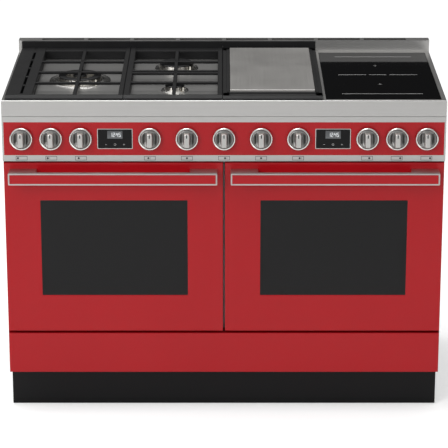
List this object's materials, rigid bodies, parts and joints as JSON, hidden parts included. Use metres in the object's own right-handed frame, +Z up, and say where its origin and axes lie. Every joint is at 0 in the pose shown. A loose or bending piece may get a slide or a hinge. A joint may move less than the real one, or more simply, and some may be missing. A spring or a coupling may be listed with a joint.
{
  "type": "freestanding range cooker",
  "caption": "Wide freestanding range with gas burners, griddle and induction glass over two drop-down oven doors and a full-width drawer.",
  "frame": {"origin": "on the floor, under the middle of the machine with its door handles", "axes": "+X to the user's right, +Y to the back, +Z up"},
  "size_m": [1.195, 0.652, 0.932],
  "materials": {
    "red_enamel": "gloss vitreous enamel",
    "black_enamel": "semi-gloss black enamel",
    "brushed_steel": "brushed along X",
    "galvanised_steel": "plain zinc-coated sheet",
    "cast_iron": "matte enamelled casting",
    "griddle_steel": "brushed cooking steel",
    "burner_alloy": "machined alloy",
    "cap_enamel": "matte black enamel",
    "ceramic_white": "glazed ceramic pin",
    "element_sheath": "dark sheathed element",
    "black_glass": "polished black ceramic glass",
    "tinted_glass": "dark tinted glass",
    "door_inner_glass": "inner glass and its steel frame",
    "copper_coil": "wound copper",
    "brass": "turned brass and steel pipe",
    "black_plastic": "moulded black plastic",
    "seal_rubber": "woven and silicone gasket",
    "chrome_wire": "chromed wire",
    "oven_enamel": "speckled pyrolytic enamel",
    "fan_steel": "stamped steel",
    "satin_knob": "satin metal"
  },
  "bodies": {
    "chassis": {"base_frame": "galvanised_steel", "levelling_feet": "black_plastic", "side_panels": "black_enamel", "back_panel": "galvanised_steel", "centre_partition": "galvanised_steel", "plinth": "black_enamel", "hob_top": "brushed_steel", "hob_upstand": "brushed_steel", "burner_bases": "burner_alloy", "burner_crowns": "burner_alloy", "burner_caps": "cap_enamel", "spark_electrodes": "ceramic_white", "pan_support_left": "cast_iron", "pan_support_middle": "cast_iron", "griddle_frame": "cast_iron", "griddle_plate": "griddle_steel", "heating_elements": "element_sheath", "induction_glass": "black_glass", "induction_coils": "copper_coil", "panel_carrier": "brushed_steel", "control_panel": "red_enamel", "displays": "black_glass", "gas_manifold": "brass", "control_switches": "black_plastic", "oven_seals": "seal_rubber", "shelf_runners": "chrome_wire", "oven_shelves": "chrome_wire", "fan_covers": "oven_enamel", "oven_liner_left": "oven_enamel", "oven_liner_right": "oven_enamel"},
    "drawer": {"drawer_front": "red_enamel", "drawer_box": "galvanised_steel"},
    "door_left": {"door_panel_left": "red_enamel", "door_window_left": "tinted_glass", "door_inner_left": "door_inner_glass", "door_handle_left": "brushed_steel", "handle_inlay_left": "red_enamel", "door_hinges_left": "galvanised_steel"},
    "fan_left": {"oven_fan_left": "fan_steel"},
    "door_right": {"door_panel_right": "red_enamel", "door_window_right": "tinted_glass", "door_inner_right": "door_inner_glass", "door_handle_right": "brushed_steel", "handle_inlay_right": "red_enamel", "door_hinges_right": "galvanised_steel"},
    "fan_right": {"oven_fan_right": "fan_steel"},
    "knob_burner_left": {"knob_burner_left": "satin_knob"},
    "spindle_burner_left": {"spindle_burner_left": "brass"},
    "knob_burner_rear": {"knob_burner_rear": "satin_knob"},
    "spindle_burner_rear": {"spindle_burner_rear": "brass"},
    "knob_burner_front": {"knob_burner_front": "satin_knob"},
    "spindle_burner_front": {"spindle_burner_front": "brass"},
    "knob_left_oven_mode": {"knob_left_oven_mode": "satin_knob"},
    "knob_left_oven_heat": {"knob_left_oven_heat": "satin_knob"},
    "knob_griddle_front": {"knob_griddle_front": "satin_knob"},
    "knob_right_oven_heat": {"knob_right_oven_heat": "satin_knob"},
    "knob_right_oven_mode": {"knob_right_oven_mode": "satin_knob"},
    "knob_griddle_rear": {"knob_griddle_rear": "satin_knob"},
    "knob_induction_rear": {"knob_induction_rear": "satin_knob"},
    "knob_induction_front": {"knob_induction_front": "satin_knob"}
  },
  "joints": [
    {"name": "door_left_hinge", "type": "hinge", "parent": "chassis", "child": "door_left", "pos_m": [-0.299, -0.258, 0.2615], "axis": [1, 0, 0], "range_deg": [0, 90], "stiffness_Nm_per_rad": 12, "springref_deg": -20.05},
    {"name": "fan_left_spin", "type": "hinge", "parent": "chassis", "child": "fan_left", "pos_m": [-0.299, 0.18, 0.4895], "axis": [0, 1, 0], "continuous": true},
    {"name": "door_right_hinge", "type": "hinge", "parent": "chassis", "child": "door_right", "pos_m": [0.299, -0.258, 0.2615], "axis": [1, 0, 0], "range_deg": [0, 90], "stiffness_Nm_per_rad": 12, "springref_deg": -20.05},
    {"name": "fan_right_spin", "type": "hinge", "parent": "chassis", "child": "fan_right", "pos_m": [0.299, 0.18, 0.4895], "axis": [0, 1, 0], "continuous": true},
    {"name": "drawer_slide", "type": "slide", "parent": "chassis", "child": "drawer", "axis": [0, -1, 0], "range_m": [0, 0.4]},
    {"name": "turn_burner_left", "type": "hinge", "parent": "chassis", "child": "spindle_burner_left", "pos_m": [-0.546, -0.274, 0.795], "axis": [0, -1, 0], "range_deg": [0, 210]},
    {"name": "push_burner_left", "type": "slide", "parent": "spindle_burner_left", "child": "knob_burner_left", "axis": [0, 1, 0], "range_m": [0, 0.003], "stiffness_N_per_m": 800, "springref_m": -0.002},
    {"name": "turn_burner_rear", "type": "hinge", "parent": "chassis", "child": "spindle_burner_rear", "pos_m": [-0.466, -0.274, 0.795], "axis": [0, -1, 0], "range_deg": [0, 210]},
    {"name": "push_burner_rear", "type": "slide", "parent": "spindle_burner_rear", "child": "knob_burner_rear", "axis": [0, 1, 0], "range_m": [0, 0.003], "stiffness_N_per_m": 800, "springref_m": -0.002},
    {"name": "turn_burner_front", "type": "hinge", "parent": "chassis", "child": "spindle_burner_front", "pos_m": [-0.386, -0.274, 0.795], "axis": [0, -1, 0], "range_deg": [0, 210]},
    {"name": "push_burner_front", "type": "slide", "parent": "spindle_burner_front", "child": "knob_burner_front", "axis": [0, 1, 0], "range_m": [0, 0.003], "stiffness_N_per_m": 800, "springref_m": -0.002},
    {"name": "turn_left_oven_mode", "type": "hinge", "parent": "chassis", "child": "knob_left_oven_mode", "pos_m": [-0.2, -0.274, 0.795], "axis": [0, 1, 0], "continuous": true},
    {"name": "turn_left_oven_heat", "type": "hinge", "parent": "chassis", "child": "knob_left_oven_heat", "pos_m": [-0.1, -0.274, 0.795], "axis": [0, 1, 0], "range_deg": [0, 270]},
    {"name": "turn_griddle_front", "type": "hinge", "parent": "chassis", "child": "knob_griddle_front", "pos_m": [0, -0.274, 0.795], "axis": [0, 1, 0], "range_deg": [0, 270]},
    {"name": "turn_right_oven_heat", "type": "hinge", "parent": "chassis", "child": "knob_right_oven_heat", "pos_m": [0.1, -0.274, 0.795], "axis": [0, 1, 0], "range_deg": [0, 270]},
    {"name": "turn_right_oven_mode", "type": "hinge", "parent": "chassis", "child": "knob_right_oven_mode", "pos_m": [0.2, -0.274, 0.795], "axis": [0, 1, 0], "continuous": true},
    {"name": "turn_griddle_rear", "type": "hinge", "parent": "chassis", "child": "knob_griddle_rear", "pos_m": [0.386, -0.274, 0.795], "axis": [0, 1, 0], "range_deg": [0, 270]},
    {"name": "turn_induction_rear", "type": "hinge", "parent": "chassis", "child": "knob_induction_rear", "pos_m": [0.466, -0.274, 0.795], "axis": [0, 1, 0], "range_deg": [0, 270]},
    {"name": "turn_induction_front", "type": "hinge", "parent": "chassis", "child": "knob_induction_front", "pos_m": [0.546, -0.274, 0.795], "axis": [0, 1, 0], "range_deg": [0, 270]}
  ]
}
